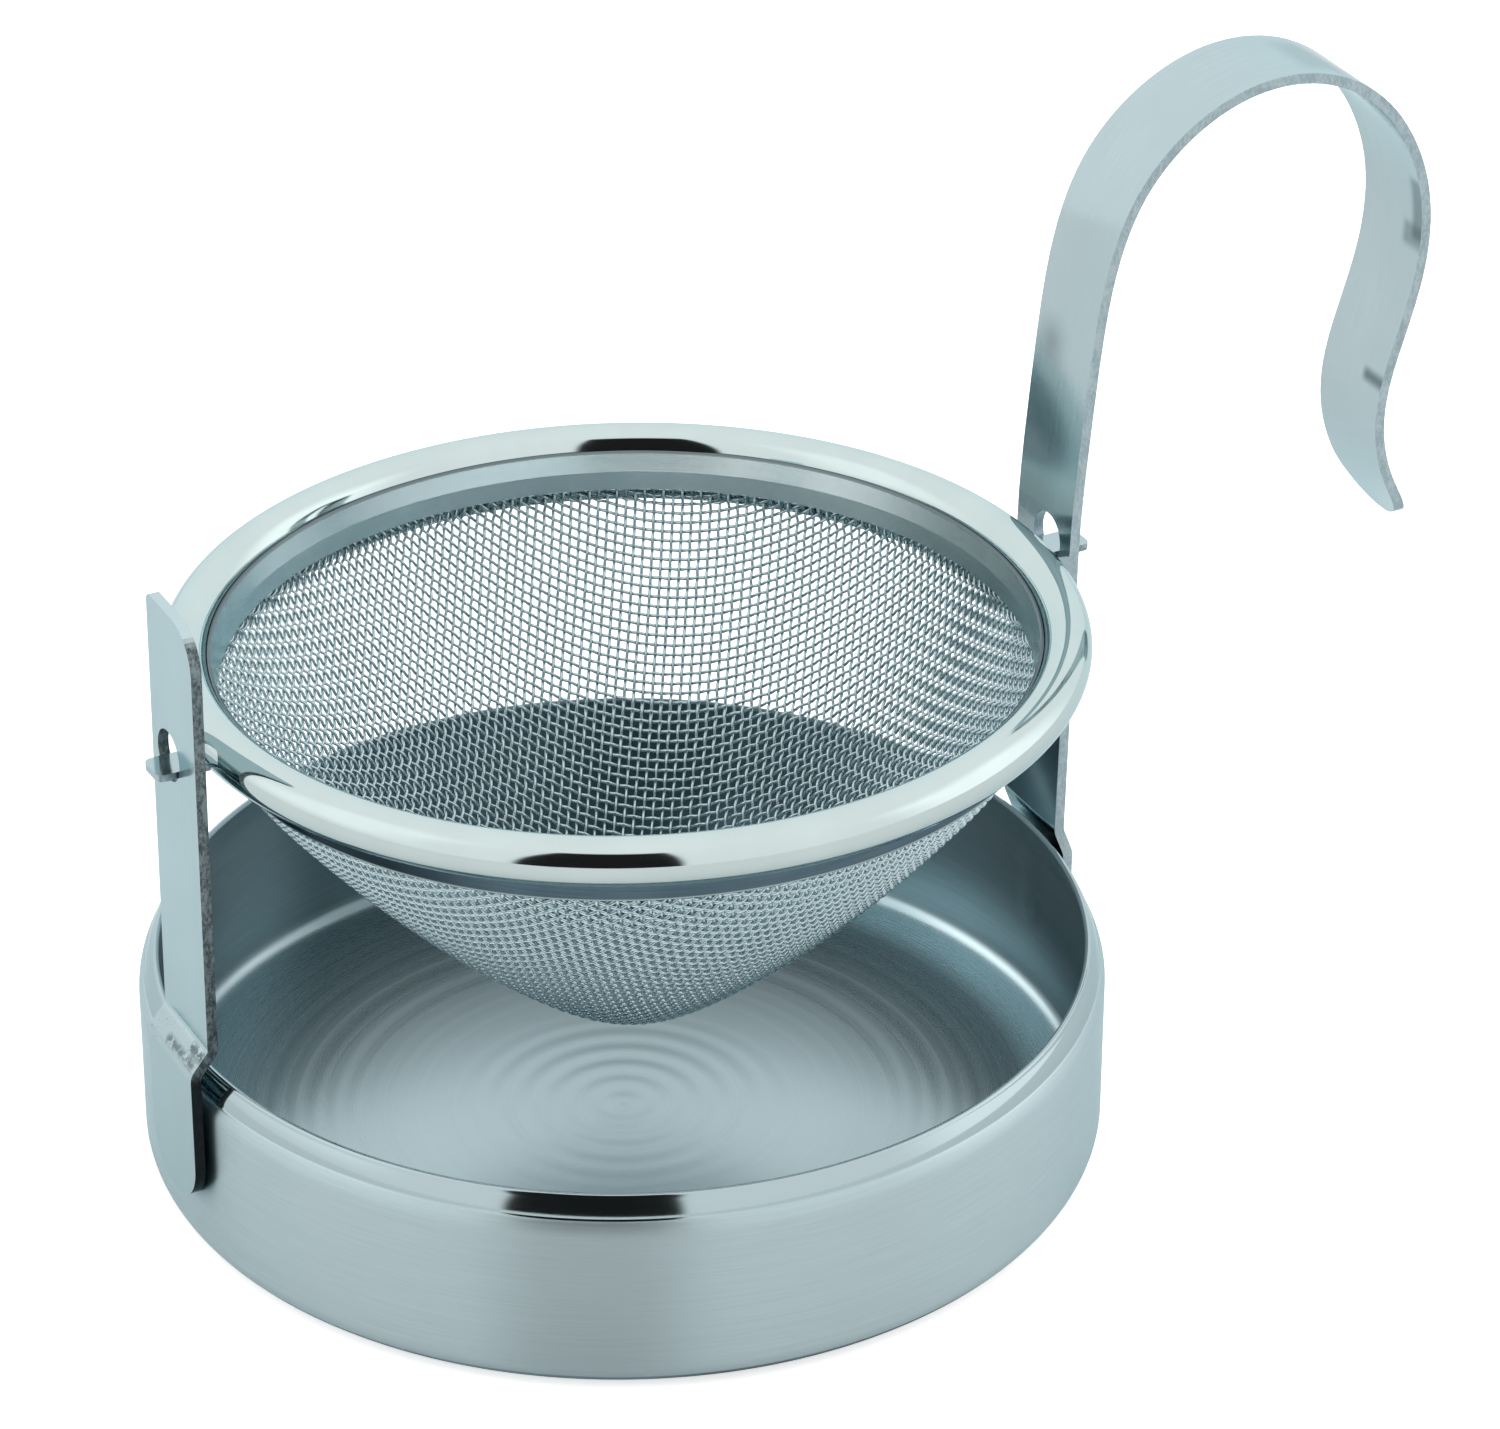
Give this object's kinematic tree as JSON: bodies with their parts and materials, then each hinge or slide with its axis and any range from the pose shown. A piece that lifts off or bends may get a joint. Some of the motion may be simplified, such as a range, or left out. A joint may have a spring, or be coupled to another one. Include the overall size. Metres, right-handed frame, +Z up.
{
  "type": "swing tea strainer",
  "caption": "Swing tea strainer: a woven steel basket in a rolled rim, hung by flat lugs between upright strips on a round drip bowl, with a spring hook handle.",
  "frame": {"origin": "centre of the underside of the drip bowl, on the plane it rests on", "axes": "+Z up, X along the pivot axis with the hook handle on the +X side, +Y to the left of someone looking along +X"},
  "size_m": [0.1149, 0.08, 0.0841],
  "materials": {
    "brushed_bowl_steel": "finely brushed stainless steel with a polished rim band",
    "polished_strip_steel": "polished stainless strip with sheared edges",
    "polished_rim_steel": "bright polished stainless steel",
    "woven_wire_steel": "plain-woven stainless wire cloth",
    "weld_steel": "dull resistance weld"
  },
  "bodies": {
    "bowl_frame": {"drip_bowl": "brushed_bowl_steel", "short_arm": "polished_strip_steel", "handle_arm": "polished_strip_steel", "short_arm_weld_nuggets": "weld_steel", "handle_arm_weld_nuggets": "weld_steel"},
    "strainer": {"strainer_rim": "polished_rim_steel", "inner_hoop": "polished_rim_steel", "mesh_basket": "woven_wire_steel", "short_arm_lug": "polished_rim_steel", "handle_arm_lug": "polished_rim_steel", "hoop_weld_nuggets": "weld_steel"}
  },
  "joints": [
    {"name": "strainer_swing", "type": "hinge", "parent": "bowl_frame", "child": "strainer", "pos_m": [0, 0, 0.0449], "axis": [1, 0, 0], "continuous": true}
  ]
}
